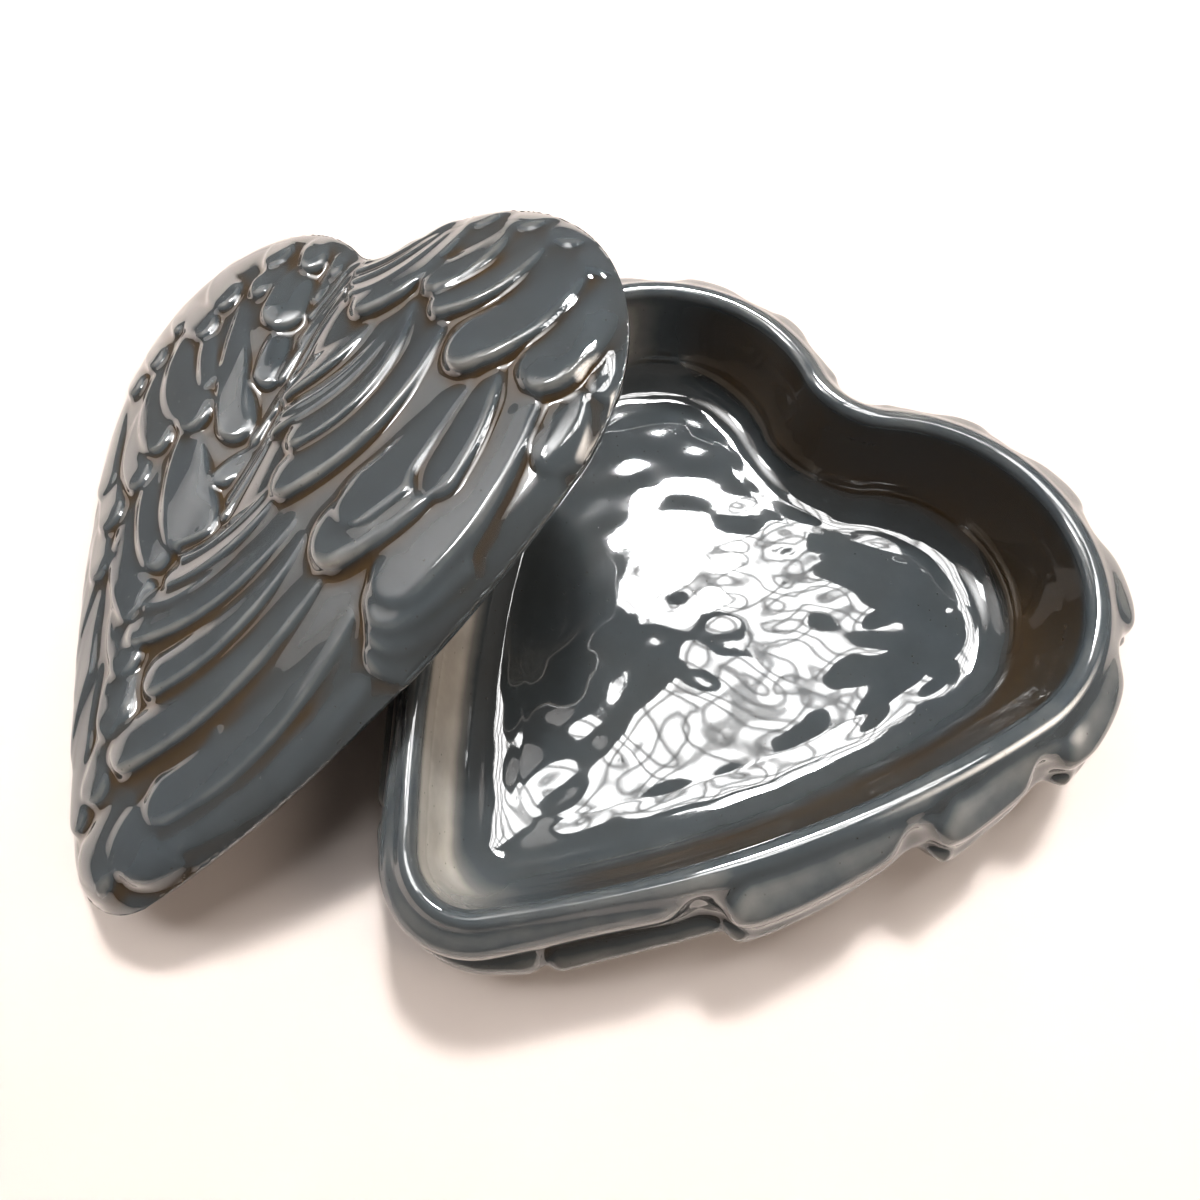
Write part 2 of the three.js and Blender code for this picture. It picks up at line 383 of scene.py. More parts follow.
# The left wing's, mirrored.
LEFT_WING = [
    # the primaries along the edge
    (45, -6, 58, 22, 1.2, 3.6),
    (37.5, -17, 54, 12, 1.5, 3.8),
    (30, -28, 49, 4, 1.8, 3.8),
    (22.5, -39, 41, -6, 1.8, 3.8),
    (15, -49, 32, -18, 1.8, 3.8),
    (7.5, -58, 21, -32, 1.5, 3.6),
    # the rows above them
    (5.5, -52.5, 9, -36, 0.5, 3.9),
    (7.5, -42, 13, -26, 0.8, 5.0),
    (9.5, -31, 24, -17, 1.5, 4.2),
    (14, -21.5, 33, -4, 2, 4.8),
    (15, -12.3, 32, 9, 2, 4.0),
    (9, -7.6, 26, 18, 1.5, 6.2),
    (12.5, 5.8, 8, 15, 0, 2.5),
    (32, -17, 43, -4, 0.5, 3.9),
    (36, -7, 49, 9, 0.8, 4.4),
    (45, -1, 57, 22, 1, 4.2),
    (32, 2.2, 46, 18, 1.8, 4.0),
    (31, 10, 46, 32, 3, 4.4),
    (22, 16, 42, 39, 3.8, 5.3),
    (24, 25, 35, 42, 1.5, 2.9),
    (12, 15, 27, 45, 1, 4.2),
    (11.5, 27, 14, 41, 0, 3.3),
    (14.5, 39.5, 16, 54, 0, 5.0),
    (24.5, 46.3, 22, 56, -0.5, 3.6),
    (8.5, 46.8, 9, 55, 0, 2.1),
    (50, 24, 61, 30, 0, 3.3),
    (46, 30.7, 59, 37, 0, 3.4),
    (44.5, 39, 54, 45, 0, 2.4),
    (32.5, 38.3, 50, 47, 0.5, 3.9),
    (30.5, 44.3, 45, 58, 1.5, 4.3),
    (22, 54.5, 30, 65, 0, 4.0),
    (12.5, 54, 18, 65, 0, 3.3),
    (7.5, 53, 8, 61, 0, 2.2),
]

VALLEY_DEPTH, VALLEY_WIDTH = 3.0, 7.0
# The share of the relief that is lost at the lid's edge, and how far in from it.
EDGE_CALM, EDGE_CALM_WIDTH = 0.6, 6.0
RELIEF_SHIFT = -0.7  # the feathers stand about the dome's own surface, and not all above it

# Round the locating ring, from inside it to the seating face: distance out from the lip, and height.
RING_OUTER = -RING_CLEARANCE
RING_INNER = RING_OUTER - RING_THICKNESS
SEAT = [
    (RING_INNER - 0.6, -0.8),
    (RING_INNER, -RING_DEPTH + 0.8),
    (RING_INNER + 0.35, -RING_DEPTH + 0.2),
    (RING_INNER + 0.9, -RING_DEPTH),
    (RING_OUTER - 0.9, -RING_DEPTH),
    (RING_OUTER - 0.35, -RING_DEPTH + 0.2),
    (RING_OUTER, -RING_DEPTH + 0.8),
    (RING_OUTER, -0.4),
    (RING_OUTER + 0.4, 0),
    (LID_OVERHANG - 2.6, 0),
]
# Round the lid's edge: distance out from its widest line, height, and share of the feathers' height.
RIM = [(-1.9, 0, 0), (-1.2, 0.15, 0.35), (-0.55, 0.55, 0.7), (-0.15, 1.1, 0.9), (0, 1.75, 1)]
# The first row of SEAT without glaze, and the first one after those: the ring's bottom.
BARE_SEAT = (3, 5)
# Inside the ring, how far in the hollow starts, and how much lower its roof is at its edge.
HOLLOW_INSET, HOLLOW_DROP = 1.4, 1.6
EDGE_SWELL = 0.55  # the share of the feathers' height that swells the lid's edge


def valley_x(y):
    """The valley between the wings wanders: the right wing lies over the left one."""
    bend = 5.5 * np.exp(-(((y + 20) / 13) ** 2))
    return -8.5 - bend + 8.5 * smoothstep(-y, 24, 44) + 3 * smoothstep(y, 48, 62)


def lift_of(width):
    """How high a feather of the lid stands at its tip: the wider, the higher."""
    return 0.7 + 0.17 * width


def wing_field():
    field = Field((-66, 66), (-70, 70))
    layers = [
        (LEFT_WING, 1, {"mirror": -1, "tilt": LEFT_TILT}),
        (RIGHT_WING, 1, {}),
        (SHOULDER, SHOULDER_SHARE, {}),
    ]
    for feathers, share, settings in layers:
        for tip_x, tip_y, root_x, root_y, bow, width in feathers:
            lift = share * lift_of(width)
            lay_feather(field, (tip_x, tip_y), (root_x, root_y), bow, width, lift, **settings)
    return field


def lid_to_box(points):
    """From the lid's own frame to where it lies."""
    lean_way = math.radians(LEAN_TOWARDS + 90)
    lean = Quaternion(Vector((math.cos(lean_way), math.sin(lean_way), 0)), math.radians(LEAN))
    turn = Quaternion(Vector((0, 0, 1)), math.radians(LID_HEADING))
    return points @ np.array((lean @ turn).to_matrix()).T + LID_POSITION


def make_lid():
    field = wing_field()
    inset = distance_to_heart(field.x, field.y, LID_OVERHANG)
    field.height *= 1 - EDGE_CALM * (1 - smoothstep(inset, 0, EDGE_CALM_WIDTH))
    relief = soften(field)
    thickness = glaze_thickness(relief, field.step)
    share = np.clip(inset / DOME_SPAN, 0, 1)
    dome = EDGE_HEIGHT + DOME_RISE * np.sqrt(1 - (1 - share) ** 2)
    depth = VALLEY_DEPTH * smoothstep(field.y, -34, 26) * smoothstep(inset, 0, 12)
    dome -= depth * np.exp(-(((field.x - valley_x(field.y)) / VALLEY_WIDTH) ** 2))
    dome = np.where(inset > 4, blurred(dome, 1.2 / field.step), dome)
    smooth_inset = blurred(np.minimum(inset, DOME_SPAN), 1.5 / field.step)
    slope_y, slope_x = np.gradient(smooth_inset, field.step)

    ring = Ring(STATIONS)
    edge = ring.at(LID_OVERHANG, 0)
    outwards = ring.way * ring.bend[:, None]
    outwards = np.stack([outwards[:, 0] * ring.mirror, outwards[:, 1]], 1)

    def raised(xy, amount):
        """Places on the dome, moved out along its own normal by the feathers' height times amount."""
        x, y = xy[:, 0], xy[:, 1]
        here = field.sample(inset, x, y)
        part = np.clip(here / DOME_SPAN, 0, 1)
        flat = (DOME_RISE / DOME_SPAN) * (1 - part)
        up = np.sqrt(1 - (1 - part) ** 2) + 1e-3
        size = np.hypot(flat, up)
        out = np.stack([-field.sample(slope_x, x, y), -field.sample(slope_y, x, y)], 1)
        move = (field.sample(relief, x, y) + RELIEF_SHIFT) * amount
        placed = xy + out * (flat / size * move)[:, None]
        return np.column_stack([placed, field.sample(dome, x, y) + up / size * move])

    # Close to the edge the rings crowd together, where the dome is steepest.
    crowded = 0.06 * np.linspace(0.02, 1, 26) ** 1.7
    scales = 1 - np.concatenate([crowded, np.linspace(0.06, 0.995, 150)[1:]])
    top_rings = [raised(edge[:, :2] * scale, 1) for scale in scales]
    edge_relief = field.sample(relief, *(edge[:, :2] * 0.985).T) + RELIEF_SHIFT
    rings = [ring.at(offset, height) for offset, height in SEAT]
    for offset, height, amount in RIM:
        placed = ring.at(LID_OVERHANG + offset, height)
        placed[:, :2] += outwards * (EDGE_SWELL * amount * edge_relief)[:, None]
        rings.append(placed)
    hollow = ring.at(RING_INNER - HOLLOW_INSET, 0)[:, :2]
    roof = []
    for scale in np.concatenate([np.linspace(0.03, 0.9, 40), np.linspace(0.92, 1, 8)]):
        xy = hollow * scale
        height = field.sample(dome, xy[:, 0], xy[:, 1]) - SHELL_THICKNESS
        height -= HOLLOW_DROP * smoothstep(scale, 0.93, 1.0)
        roof.append(np.column_stack([xy, height]))
    rings = roof + rings + top_rings
    crown = raised(np.array([[0.0, 0.0]]), 1)[0]
    under = np.array([0, 0, field.sample(dome, np.array([0.0]), np.array([0.0]))[0] - SHELL_THICKNESS])
    points, faces = loft(rings, under, crown)

    count = len(edge)
    before = len(roof) + len(SEAT) + len(RIM)
    glaze_and_painted_shading = np.full(len(points), 0.45)
    for n, scale in enumerate(scales):
        first = 1 + (before + n) * count
        glaze_and_painted_shading[first:first + count] = field.sample(thickness, *(edge[:, :2] * scale).T)
    glaze_and_painted_shading[-1] = 0.5
    dry = np.zeros(len(points))
    bare_from, bare_to = BARE_SEAT
    dry[1 + (len(roof) + bare_from) * count:1 + (len(roof) + bare_to) * count] = 1
    return make_mesh("lid_two_wings", lid_to_box(points), faces, {"glaze": glaze_and_painted_shading, "dry": dry})


# ---------------------------------------------------------------- the dish

# Feathers along the wall, from the point to the notch, lowest layer first. Places are how far
# along the wall from the heart's point, and the height: tip, root, bow, half width, lift.
WALL_FEATHERS = [
    (14, 9.5, 60, 15, -0.6, 3.6, 4.6),
    (15, 11.0, -14, 11.0, 0, 4.2, 4.2),
    (-9, 20.5, 46, 21.5, 0, 5.2, 2.2),
    (41.0, 20.8, 84, 22, 0, 4.9, 3.6),
    (74.5, 20.8, 110, 22, 0, 4.9, 3.8),
    (98.0, 20.8, 132, 22, 0, 4.9, 3.6),
    (120.0, 20.8, 151, 22, 0, 4.8, 3.3),
    (138.5, 20.5, 166, 22, 0, 4.8, 2.9),
    (155.5, 20.0, 178, 22, 0, 4.6, 2.5),
    (169.5, 19.5, 186, 22, 0, 4.4, 2.0),
]
FIRST_LOBE, LOBE_LIFT = 30, 3.8
NOTCH_CALM = 0.65  # the share of the relief that is lost where the two lobes meet
# Below each lobe, a broad feather: how far behind the lobe's tip, height, half width and lift.
UNDER_FEATHER = (0.5, 12.6, 5.6, 4.1)
# Its fine ridges: how far behind the lobe's tip, height, and lift.
RIDGES = [(0, 15.9, 4.9), (1.5, 13.8, 5.0), (4.5, 11.8, 4.7), (8.5, 9.9, 3.9), (13, 8.2, 2.8)]
RIDGE_WIDTH = 1.35
UNDER_BOW = -1.2
WALL_FORM = {"tilt": -0.1, "rim": 0, "round_edge": 5.0}
WALL_POOL = 0.3  # how strongly the wall's relief thins and pools the glaze, against the lid's
# The hollow in front of each lobe's tip: how far ahead, height, reach along and up, and depth.
HOLLOW = (3.2, 21.5, 2.8, 3.6, 2.6)


# Under the dish, from the recess out: distance out from the dish's lip, and height.
FOOT = [(-7, FOOT_RECESS), (-6, FOOT_RECESS), (-5.4, FOOT_RECESS * 0.5), (-5.0, 0), (-1.5, 0)]
# Up the outer wall: share of the bulge, and height.
OUTSIDE = [
    (0.2, 0),
    (0.4, 0.9),
    (0.7, 3.6),
    (0.9, 7.0),
    (1, 11.0),
    (0.985, 14.5),
    (0.93, 18.0),
    (0.84, DISH_HEIGHT - 5.6),
    (0.72, DISH_HEIGHT - 3.2),
    (0.56, DISH_HEIGHT - 1.5),
    (0.4, DISH_HEIGHT - 0.4),
    (0.27, DISH_HEIGHT),
]
# Inside the lip: distance in from it, and height.
LIP = [
    (-0.27 * WALL_BULGE, DISH_HEIGHT),
    (-1.3, DISH_HEIGHT - 0.15),
    (-0.6, DISH_HEIGHT - 0.6),
    (-0.1, DISH_HEIGHT - 1.4),
    (0, DISH_HEIGHT - 2.4),
    (0.35, DISH_HEIGHT - 6.0),
]
# Below it, down to the floor. Distances in from the lip are counted up to INSET_LIMIT.
INSET_LIMIT = 16
BOWL = [
    (0.35, DISH_HEIGHT - 6.0),
    (0.7, FLOOR_HEIGHT + 13),
    (1.3, FLOOR_HEIGHT + 9.5),
    (2.4, FLOOR_HEIGHT + 6.2),
    (4.1, FLOOR_HEIGHT + 3.1),
    (6.4, FLOOR_HEIGHT + 1.1),
    (9.0, FLOOR_HEIGHT + 0.25),
    (13.0, FLOOR_HEIGHT),
]


def ripples(x, y, wavelength, seed, waves=26):
    """Gentle unevenness, as a sum of waves in seeded directions, about 1 high."""
    random = np.random.default_rng(seed)
    total = np.zeros(np.shape(x))
    for _ in range(waves):
        angle, phase = random.uniform(0, 2 * math.pi, 2)
        pitch = 2 * math.pi / (wavelength * random.uniform(0.7, 1.8))
        total += np.sin(pitch * (x * math.cos(angle) + y * math.sin(angle)) + phase)
    return total / math.sqrt(waves / 2)


def bulge_share(run):
    return POINT_BULGE + (1 - POINT_BULGE) * smoothstep(run, *BULGE_GROWS)


def wall_field():
    field = Field((-20, HALF_LENGTH + 10), (-1, DISH_HEIGHT + 2), step=0.3)
    ahead, hollow_height, reach_along, reach_up, hollow_depth = HOLLOW
    under_back, under_height, under_width, under_lift = UNDER_FEATHER
    for tip_x, tip_y, root_x, root_y, bow, width, lift in WALL_FEATHERS:
        if tip_x > FIRST_LOBE:
            scale = lift / LOBE_LIFT
            along = (field.x - tip_x + ahead) / reach_along
            up = (field.y - hollow_height) / reach_up
            field.height -= hollow_depth * scale * np.exp(-(along**2) - up**2)
            tip, root = (tip_x + under_back, under_height), (root_x - 3, 18)
            under_rise = under_lift * scale
            lay_feather(field, tip, root, UNDER_BOW, under_width, under_rise, **WALL_FORM)
            for back, height, ridge_lift in RIDGES[::-1]:
                tip, root = (tip_x + back, height), (root_x - 3, 16 + height / 3)
                rise = ridge_lift * scale
                lay_feather(field, tip, root, UNDER_BOW, RIDGE_WIDTH, rise, tilt=0, rim=0, softness=0.8)
        tip, root = (tip_x, tip_y), (root_x, root_y)
        lay_feather(field, tip, root, bow, width, lift, softness=1.0, **WALL_FORM)
    return field


def make_dish():
    field = wall_field()
    relief = soften(field, 0.3)
    thickness = glaze_thickness(relief * WALL_POOL, field.step)

    ring = Ring(STATIONS)
    share = bulge_share(ring.run)
    outer = along_profile(OUTSIDE, 80)

    def wall(bulge, height):
        from_lip = smoothstep(height, DISH_HEIGHT - 4.5, DISH_HEIGHT - 0.4)
        fade = smoothstep(height, 0.5, 3) * (1 - from_lip)
        move = field.sample(relief, ring.length, 0 * ring.length + height)
        move *= 1 - NOTCH_CALM * smoothstep(ring.run, 0.9, 1)
        return ring.at(bulge * WALL_BULGE * share + move * fade, height)

    foot = [ring.at(offset, height) for offset, height in FOOT]
    middle = [foot[0] * np.array([scale, scale, 1]) for scale in np.linspace(0.05, 0.9, 8)]
    outer_rings = [wall(bulge, height) for bulge, height in outer]
    lip_profile = along_profile(LIP, 22)[1:]
    lip_rings = []
    for inset, height in lip_profile:
        lip = smoothstep(height, DISH_HEIGHT - 1.2, DISH_HEIGHT) * -inset * (share - 1)
        lip_rings.append(ring.at(-inset + lip, height))

    # The bowl is one smooth surface: its height follows a softened distance in from the lip.
    bowl = Field((-62, 62), (-66, 62), step=0.4)
    inset = distance_to_heart(bowl.x, bowl.y, 0)
    inset = np.minimum(inset, INSET_LIMIT)
    inset += (blurred(inset, 3 / bowl.step) - inset) * smoothstep(inset, 0.8, 5)
    curve = along_profile(BOWL, 160)
    depth = np.interp(inset, curve[:, 0], curve[:, 1])
    waves = RIPPLE_HEIGHT * ripples(bowl.x, bowl.y, RIPPLE_PITCH, 5)
    depth += waves * smoothstep(inset, 6, 13)
    last_lip = lip_rings[-1]
    crowded = 0.08 * np.linspace(0, 1, 34)[1:] ** 1.4
    scales = 1 - np.concatenate([crowded, np.linspace(0.08, 0.985, 112)[1:]])
    bowl_rings = []
    for scale in scales:
        xy = last_lip[:, :2] * scale
        height = bowl.sample(depth, xy[:, 0], xy[:, 1])
        height = np.minimum(height, BOWL[0][1] - 0.02)
        bowl_rings.append(np.column_stack([xy, height]))
    rings = middle + foot + outer_rings + lip_rings + bowl_rings
    floor_middle = bowl.sample(depth, np.zeros(1), np.zeros(1))[0]
    points, faces = loft(rings, np.array([0, 0, FOOT_RECESS]), np.array([0, 0, floor_middle]))

    count = len(ring.length)
    glaze_and_painted_shading = np.full(len(points), 0.55)
    first_wall = len(middle) + len(foot)
    for n, (_, height) in enumerate(outer):
        start = 1 + (first_wall + n) * count
        crest = smoothstep(height, DISH_HEIGHT - 2.0, DISH_HEIGHT - 0.3)
        laid = field.sample(thickness, ring.length, 0 * ring.length + height)
        glaze_and_painted_shading[start:start + count] = laid - 0.08 - 0.1 * crest
    inner_start = 1 + (first_wall + len(outer)) * count
    inside = points[inner_start:-1]
    # Inside, the glaze is pale on the lip's crest and slate on the floor. Up the walls, painted light
    # makes the near left wall pale and painted shade makes the far walls dark, in the deep glaze's
    # brown.
    climb = smoothstep(inside[:, 2], FLOOR_HEIGHT + 1.0, FLOOR_HEIGHT + 8)
    crest = smoothstep(inside[:, 2], DISH_HEIGHT - 4.0, DISH_HEIGHT - 0.5)
    # side runs from 0 on the near left wall to 1 on the far and right walls: it places the painted light
    # and the painted shade.
    side = smoothstep(inside[:, 0] + 0.5 * inside[:, 1], -34, 4)
    glaze_and_painted_shading[inner_start:-1] = 0.52 + climb * (0.46 * side - 0.50 * (1 - side)) * (1 - crest) - 0.12 * crest
    dry = np.zeros(len(points))
    # The foot ring is bare clay, up to the first rows of the wall.
    dry[1 + (len(middle) + 2) * count:1 + (first_wall + 2) * count] = 1
    return make_mesh("dish_heart", points, faces, {"glaze": glaze_and_painted_shading, "dry": dry})


# ---------------------------------------------------------------- materials

def node(tree, kind, **settings):
    made = tree.nodes.new(kind)
    for key, value in settings.items():
        setattr(made, key, value)
    return made


def ramp(tree, stops):
    made = node(tree, "ShaderNodeValToRGB")
    elements = made.color_ramp.elements
    while len(elements) < len(stops):
        elements.new(0.5)
    for element, (place, colour) in zip(elements, stops):
        element.position = place
        element.color = (*colour, 1)
    return made


# A Mix node's sockets for colours: its two inputs and its output.
MIX_A, MIX_B, MIXED = 6, 7, 2


def mix(tree, a, b, factor, blend="MIX"):
    made = node(tree, "ShaderNodeMix", data_type="RGBA", blend_type=blend)
    for key, value in (("Factor", factor), (MIX_A, a), (MIX_B, b)):
        socket = made.inputs[key]
        if isinstance(value, bpy.types.NodeSocket):
            tree.links.new(value, socket)
        else:
            socket.default_value = value
    return made.outputs[MIXED]


# The glaze's colour by its thickness, from 0, thin, to 1, deep.
GLAZE_STOPS = [
    (0.0, (0.55, 0.50, 0.44)),
    (0.22, (0.17, 0.165, 0.155)),
    (0.42, (0.047, 0.056, 0.062)),
    (0.6, (0.032, 0.036, 0.038)),
    (0.78, (0.034, 0.022, 0.012)),
    (1.0, (0.040, 0.022, 0.007)),
]
CLAY = (0.56, 0.50, 0.43, 1)
PINHOLE = (0.03, 0.025, 0.02, 1)
MOTTLE = 0.16  # how much the thickness wanders by itself
PINHOLE_SHARE = 0.5
GLAZE_ROUGHNESS, CLAY_ROUGHNESS = 0.06, 0.75
GLAZE_IOR, GLAZE_SPECULAR = 1.5, 0.3
COAT_IOR, COAT_ROUGHNESS = 1.7, 0.02

# How fine each pattern is, in cells a metre, and how strong and deep the two bumps are.
MOTTLE_SCALE, CLOUD_SCALE, PINHOLE_SCALE, PEEL_SCALE = 160, 38, 520, 170
PEEL_STRENGTH, PEEL_DEPTH = 0.05, 0.0006
PINHOLE_STRENGTH, PINHOLE_DEPTH = 0.35, 0.0002


def glaze_material(name):
    """A slate-grey gloss glaze: pale where thin, dark where it pools, and bare clay where it is dry. On
    the dish's inner walls the same value also carries painted light and painted shade.
    """
    material = bpy.data.materials.new(name)
    material.use_nodes = True
    tree = material.node_tree
    links = tree.links
    shader = tree.nodes["Principled BSDF"]
    place = node(tree, "ShaderNodeTexCoord").outputs["Object"]

    def noise(scale, detail=2.0, kind="ShaderNodeTexNoise"):
        made = node(tree, kind)
        made.inputs["Scale"].default_value = scale
        if kind == "ShaderNodeTexNoise":
            made.inputs["Detail"].default_value = detail
        links.new(place, made.inputs["Vector"])
        return made

    glaze_and_painted_shading = node(tree, "ShaderNodeAttribute", attribute_name="glaze").outputs["Fac"]
    dry = node(tree, "ShaderNodeAttribute", attribute_name="dry").outputs["Fac"]
    mottle = noise(MOTTLE_SCALE, 4)
    shifted = node(tree, "ShaderNodeMath", operation="MULTIPLY_ADD")
    links.new(mottle.outputs["Fac"], shifted.inputs[0])
    shifted.inputs[1].default_value = MOTTLE
    links.new(glaze_and_painted_shading, shifted.inputs[2])
    thickness = node(tree, "ShaderNodeMath", operation="SUBTRACT")
    links.new(shifted.outputs[0], thickness.inputs[0])
    thickness.inputs[1].default_value = MOTTLE / 2
    tint = ramp(tree, GLAZE_STOPS)
    links.new(thickness.outputs[0], tint.inputs["Fac"])
    cloud = noise(CLOUD_SCALE, 3)
    cloud_ramp = ramp(tree, [(0.35, (0.9, 0.93, 0.95)), (0.7, (1.06, 1.04, 1.0))])
    links.new(cloud.outputs["Fac"], cloud_ramp.inputs["Fac"])
    colour = mix(tree, tint.outputs["Color"], cloud_ramp.outputs["Color"], 1.0, "MULTIPLY")
    specks = noise(PINHOLE_SCALE, kind="ShaderNodeTexVoronoi")
    speck_ramp = ramp(tree, [(0.05, (1, 1, 1)), (0.11, (0, 0, 0))])
    links.new(specks.outputs["Distance"], speck_ramp.inputs["Fac"])
    speck_share = node(tree, "ShaderNodeMath", operation="MULTIPLY")
    links.new(speck_ramp.outputs["Color"], speck_share.inputs[0])
    speck_share.inputs[1].default_value = PINHOLE_SHARE
    colour = mix(tree, colour, PINHOLE, speck_share.outputs[0])
    surface = mix(tree, colour, CLAY, dry)
    links.new(surface, shader.inputs["Base Color"])

    rough = node(tree, "ShaderNodeMapRange")
    rough.inputs["To Min"].default_value = GLAZE_ROUGHNESS
    rough.inputs["To Max"].default_value = CLAY_ROUGHNESS
    links.new(dry, rough.inputs["Value"])
    links.new(rough.outputs["Result"], shader.inputs["Roughness"])
    gloss = node(tree, "ShaderNodeMapRange")
    gloss.inputs["To Min"].default_value = 1.0
    gloss.inputs["To Max"].default_value = 0.0
    links.new(dry, gloss.inputs["Value"])
    links.new(gloss.outputs["Result"], shader.inputs["Coat Weight"])
    shader.inputs["Coat Roughness"].default_value = COAT_ROUGHNESS
    shader.inputs["Coat IOR"].default_value = COAT_IOR
    shader.inputs["IOR"].default_value = GLAZE_IOR
    shader.inputs["Specular IOR Level"].default_value = GLAZE_SPECULAR

    peel = noise(PEEL_SCALE, 1.5)
    fine = node(tree, "ShaderNodeBump")
    fine.inputs["Strength"].default_value = PEEL_STRENGTH
    fine.inputs["Distance"].default_value = PEEL_DEPTH
    links.new(peel.outputs["Fac"], fine.inputs["Height"])
    pits = node(tree, "ShaderNodeBump", invert=True)
    pits.inputs["Strength"].default_value = PINHOLE_STRENGTH
    pits.inputs["Distance"].default_value = PINHOLE_DEPTH
    links.new(speck_ramp.outputs["Color"], pits.inputs["Height"])
    links.new(fine.outputs["Normal"], pits.inputs["Normal"])
    links.new(pits.outputs["Normal"], shader.inputs["Normal"])
    links.new(fine.outputs["Normal"], shader.inputs["Coat Normal"])
    return material


# ---------------------------------------------------------------- studio

FLOOR_REACH = 3.0
PAPER, PAPER_ROUGHNESS = (0.54, 0.475, 0.435), 0.6

# The overhead window's outline in plan, in metres. Its brightest part, at SUN_PLACE, casts the shadows.
WINDOW = [
    (-0.41, 0.57), (-0.30, 0.62), (-0.14, 0.66), (0.12, 0.61),
    (0.12, 0.43), (0.07, 0.19), (-0.15, -0.06), (-0.14, 0.15),
    (-0.11, 0.36), (-0.01, 0.46), (-0.13, 0.44), (-0.26, 0.34),
]
WINDOW_HEIGHT, WINDOW_RADIANCE = 1.0, 13.0
WINDOW_CELL = 0.01
WINDOW_X, WINDOW_Y = (-0.45, 0.2), (-0.1, 0.7)
PANE, BAR_HALF_WIDTH, BAR_DEPTH = 0.078, 0.009, 0.985
SUN_PLACE, SUN_REACH, SUN_RADIANCE = (-0.30, 0.53), 0.075, 760.0
# The small window to one side.
SIDE_PLACE, SIDE_RADIANCE = (-0.57, -0.23, 0.84), 34.0
SIDE_PANE, SIDE_ROWS, SIDE_COLUMNS, GLAZING_BAR = 0.062, 3, 3, 0.012
# The soft round lights: name, place, radius, radiance and colour.
GLOWS = [
    ("glow_left", (-0.45, -0.06, 0.95), 0.30, 8.0, (1, 1, 1)),
    ("glow_low_left", (-0.78, -0.24, 0.56), 0.32, 0.8, (1, 1, 1)),
    ("glow_right", (0.80, 0.42, 0.80), 0.42, 12.0, (1.0, 0.88, 0.77)),
]
GLOW_RINGS, GLOW_SIDES = 24, 48
AIM = Vector((0, 0, 0.02))

# The room's own brightness at each height of view, from the horizon (0) to straight up (1).
ROOM_LIGHT = [(0.0, 0.12), (0.25, 0.16), (0.55, 0.17), (0.8, 0.10), (1.0, 0.09)]
ROOM_COLOUR = (1.0, 0.88, 0.79)

SENSOR, LENS, CLIP_START = 36, 20.94, 0.005
CAMERA_ELEVATION, CAMERA_AZIMUTH = math.radians(65.86), math.radians(39.15)
CAMERA_DISTANCE = 0.117
CAMERA_TARGET = Vector((-0.01026, -0.00926, 0.027))


def stage_mesh(name, points, faces):
    mesh = bpy.data.meshes.new(name)
    mesh.from_pydata(points, [], faces)
    piece = bpy.data.objects.new(name, mesh)
    bpy.context.scene.collection.objects.link(piece)
    return piece


def make_floor():
    near, far = -FLOOR_REACH, FLOOR_REACH
    corners = [(near, near, 0), (far, near, 0), (far, far, 0), (near, far, 0)]
    floor = stage_mesh("floor", corners, [(0, 1, 2, 3)])
    paper = bpy.data.materials.new("paper")
    paper.use_nodes = True
    shader = paper.node_tree.nodes["Principled BSDF"]
    shader.inputs["Base Color"].default_value = (*PAPER, 1)
    shader.inputs["Roughness"].default_value = PAPER_ROUGHNESS
    floor.data.materials.append(paper)


def make_lamp(name, points, faces, radiance, colour=(1, 1, 1)):
    """A glowing stage piece, with its own radiance at each point. The camera sees it only mirrored."""
    lamp = stage_mesh(name, points, faces)
    glow = lamp.data.attributes.new("glow", "FLOAT", "POINT")
    glow.data.foreach_set("value", np.asarray(radiance, np.float32))
    material = bpy.data.materials.new(name)
    material.use_nodes = True
    tree = material.node_tree
    shader = tree.nodes["Principled BSDF"]
    shader.inputs["Emission Color"].default_value = (*colour, 1)
    strength = node(tree, "ShaderNodeAttribute", attribute_name="glow")
    tree.links.new(strength.outputs["Fac"], shader.inputs["Emission Strength"])
    lamp.data.materials.append(material)
    lamp.visible_camera = False
    return lamp


def inside_outline(x, y, outline):
    """Whether a place is in a closed outline: a line to one side crosses it an odd number of times."""
    crossings = 0
    for (x0, y0), (x1, y1) in zip(outline, outline[1:] + outline[:1]):
        if (y0 > y) != (y1 > y) and x < x0 + (x1 - x0) * (y - y0) / (y1 - y0):
            crossings += 1
    return crossings % 2 == 1


def window_radiance(x, y):
    """Bright panes with soft dark bars between them."""
    from_sun = math.hypot(x - SUN_PLACE[0], y - SUN_PLACE[1])
    radiance = WINDOW_RADIANCE + SUN_RADIANCE * math.exp(-((from_sun / SUN_REACH) ** 2))
    for place in (x, y):
        from_bar = (place + PANE / 2) % PANE - PANE / 2
        radiance *= 1 - BAR_DEPTH * math.exp(-((from_bar / BAR_HALF_WIDTH) ** 2))
    return radiance


def make_window():
    """The overhead window, mirrored in the glaze: small cells that fill its outline."""
    points, faces, radiance = [], [], []
    half = WINDOW_CELL / 2
    corners = ((-half, -half), (-half, half), (half, half), (half, -half))
    for x in np.arange(*WINDOW_X, WINDOW_CELL):
        for y in np.arange(*WINDOW_Y, WINDOW_CELL):
            if not inside_outline(x, y, WINDOW):
                continue
            faces.append(tuple(range(len(points), len(points) + 4)))
            for across, up in corners:
                points.append((x + across, y + up, WINDOW_HEIGHT))
                radiance.append(window_radiance(x + across, y + up))
    make_lamp("window", points, faces, radiance)


def face_box(lamp, place):
    """Puts a lamp at its place, turned towards the box."""
    lamp.location = place
    lamp.rotation_mode = "QUATERNION"
    lamp.rotation_quaternion = (AIM - Vector(place)).to_track_quat("-Z", "Y")


